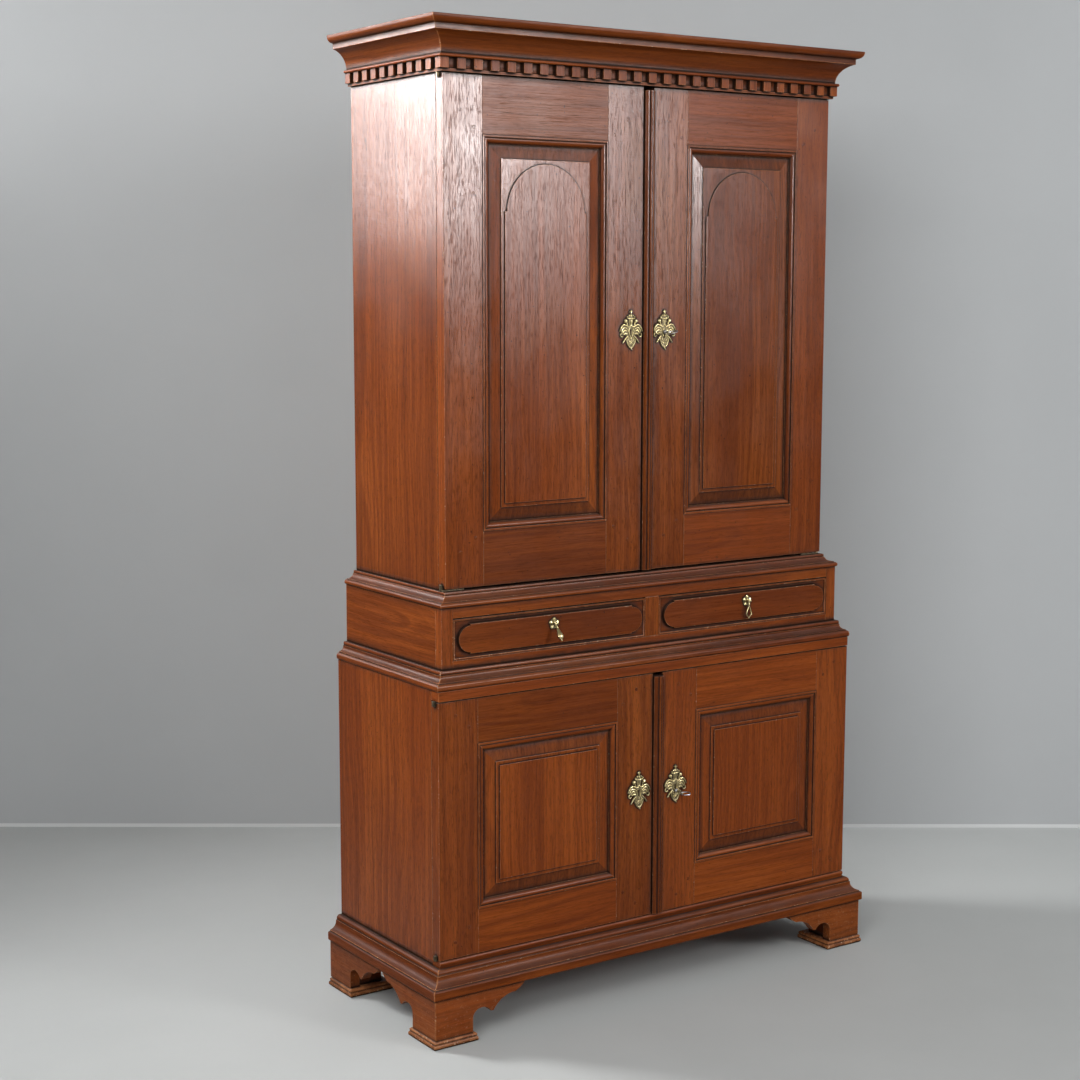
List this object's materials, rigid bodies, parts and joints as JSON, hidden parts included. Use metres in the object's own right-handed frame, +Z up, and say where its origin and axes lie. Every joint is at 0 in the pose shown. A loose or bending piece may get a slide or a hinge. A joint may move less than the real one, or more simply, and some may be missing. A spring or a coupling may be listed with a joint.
{
  "type": "kas cupboard",
  "caption": "Tall two-stage wooden cupboard with arched and square fielded doors, drawers between waist mouldings, a dentil cornice, bracket feet and brass fittings.",
  "frame": {"origin": "bottom centre of the bounding box at rest, keys included, on the floor", "axes": "+Z up, -Y towards the front, +X to the right as seen from the front"},
  "size_m": [1.144, 0.4585, 2],
  "materials": {
    "varnished_wood": "satin old varnish, worn at the edges",
    "inner_wood": "bare, dry",
    "aged_brass": "aged, dull, rubbed on high spots",
    "iron": "forged, darkened"
  },
  "bodies": {
    "cupboard": {"front_left_foot": "varnished_wood", "front_right_foot": "varnished_wood", "rear_left_foot": "varnished_wood", "rear_right_foot": "varnished_wood", "base_moulding": "varnished_wood", "lower_case_sides": "varnished_wood", "lower_case_floor_and_top": "varnished_wood", "lower_case_door_rails": "varnished_wood", "lower_case_back": "inner_wood", "lower_waist_moulding": "varnished_wood", "drawer_case": "varnished_wood", "drawer_face_frame": "varnished_wood", "upper_waist_moulding": "varnished_wood", "upper_case_floor_and_top": "varnished_wood", "upper_case_sides": "varnished_wood", "upper_case_back": "inner_wood", "shelves_and_cleats": "inner_wood", "cornice_dentil_band": "varnished_wood", "cornice_crown": "varnished_wood", "case_hinge_leaves": "aged_brass"},
    "upper_left_door": {"upper_left_door_frame": "varnished_wood", "upper_left_door_panel": "varnished_wood", "upper_left_door_panel_moulding": "varnished_wood", "upper_left_door_escutcheon": "aged_brass", "upper_left_door_hinge_leaves": "aged_brass", "upper_slide_bolt_plate": "iron"},
    "upper_right_door": {"upper_right_door_frame": "varnished_wood", "upper_right_door_panel": "varnished_wood", "upper_right_door_panel_moulding": "varnished_wood", "upper_right_door_escutcheon": "aged_brass", "upper_right_door_hinge_leaves": "aged_brass", "upper_astragal": "varnished_wood", "upper_lock_case": "iron"},
    "upper_left_door_slide_bolt": {"upper_slide_bolt": "iron"},
    "upper_right_door_key": {"upper_key": "iron"},
    "upper_right_door_lock_bolt": {"upper_lock_bolt": "iron"},
    "lower_left_door": {"lower_left_door_frame": "varnished_wood", "lower_left_door_panel": "varnished_wood", "lower_left_door_panel_moulding": "varnished_wood", "lower_left_door_escutcheon": "aged_brass", "lower_left_door_hinge_leaves": "aged_brass", "lower_slide_bolt_plate": "iron"},
    "lower_right_door": {"lower_right_door_frame": "varnished_wood", "lower_right_door_panel": "varnished_wood", "lower_right_door_panel_moulding": "varnished_wood", "lower_right_door_escutcheon": "aged_brass", "lower_right_door_hinge_leaves": "aged_brass", "lower_astragal": "varnished_wood", "lower_lock_case": "iron"},
    "lower_left_door_slide_bolt": {"lower_slide_bolt": "iron"},
    "lower_right_door_key": {"lower_key": "iron"},
    "lower_right_door_lock_bolt": {"lower_lock_bolt": "iron"},
    "left_drawer": {"left_drawer_front": "varnished_wood", "left_drawer_box": "inner_wood", "left_pull_rosette": "aged_brass"},
    "left_drawer_pull": {"left_pull_drop": "aged_brass"},
    "right_drawer": {"right_drawer_front": "varnished_wood", "right_drawer_box": "inner_wood", "right_pull_rosette": "aged_brass"},
    "right_drawer_pull": {"right_pull_drop": "aged_brass"}
  },
  "joints": [
    {"name": "upper_left_door_swing", "type": "hinge", "parent": "cupboard", "child": "upper_left_door", "pos_m": [-0.494, -0.12, 0.904], "axis": [0, 0, -1], "range_deg": [0, 165]},
    {"name": "upper_right_door_swing", "type": "hinge", "parent": "cupboard", "child": "upper_right_door", "pos_m": [0.494, -0.12, 0.904], "axis": [0, 0, 1], "range_deg": [0, 165]},
    {"name": "upper_right_door_key_turn", "type": "hinge", "parent": "upper_right_door", "child": "upper_right_door_key", "pos_m": [0.0435, -0.133, 1.4015], "axis": [0, -1, 0], "range_deg": [0, 180]},
    {"name": "upper_right_door_lock_bolt_throw", "type": "slide", "parent": "upper_right_door", "child": "upper_right_door_lock_bolt", "axis": [-1, 0, 0], "range_m": [0, 0.01]},
    {"name": "upper_left_door_slide_bolt_shoot", "type": "slide", "parent": "upper_left_door", "child": "upper_left_door_slide_bolt", "axis": [0, 0, 1], "range_m": [0, 0.014]},
    {"name": "lower_left_door_swing", "type": "hinge", "parent": "cupboard", "child": "lower_left_door", "pos_m": [-0.5405, -0.1665, 0.1681], "axis": [0, 0, -1], "range_deg": [0, 165]},
    {"name": "lower_right_door_swing", "type": "hinge", "parent": "cupboard", "child": "lower_right_door", "pos_m": [0.5405, -0.1665, 0.1681], "axis": [0, 0, 1], "range_deg": [0, 165]},
    {"name": "lower_right_door_key_turn", "type": "hinge", "parent": "lower_right_door", "child": "lower_right_door_key", "pos_m": [0.0485, -0.1795, 0.43], "axis": [0, -1, 0], "range_deg": [0, 180]},
    {"name": "lower_right_door_lock_bolt_throw", "type": "slide", "parent": "lower_right_door", "child": "lower_right_door_lock_bolt", "axis": [-1, 0, 0], "range_m": [0, 0.01]},
    {"name": "lower_left_door_slide_bolt_shoot", "type": "slide", "parent": "lower_left_door", "child": "lower_left_door_slide_bolt", "axis": [0, 0, 1], "range_m": [0, 0.014]},
    {"name": "left_drawer_slide", "type": "slide", "parent": "cupboard", "child": "left_drawer", "axis": [0, -1, 0], "range_m": [0, 0.27]},
    {"name": "left_drawer_pull_swing", "type": "hinge", "parent": "left_drawer", "child": "left_drawer_pull", "pos_m": [-0.25475, -0.1712, 0.81815], "axis": [-1, 0, 0], "range_deg": [-35, 55]},
    {"name": "right_drawer_slide", "type": "slide", "parent": "cupboard", "child": "right_drawer", "axis": [0, -1, 0], "range_m": [0, 0.27]},
    {"name": "right_drawer_pull_swing", "type": "hinge", "parent": "right_drawer", "child": "right_drawer_pull", "pos_m": [0.25475, -0.1712, 0.81815], "axis": [-1, 0, 0], "range_deg": [0, 90]}
  ],
  "couplings": [
    {"joint": "upper_right_door_key_turn", "follows": "upper_right_door_lock_bolt_throw", "rad_per_m": 314.16},
    {"joint": "lower_right_door_key_turn", "follows": "lower_right_door_lock_bolt_throw", "rad_per_m": 314.16}
  ]
}
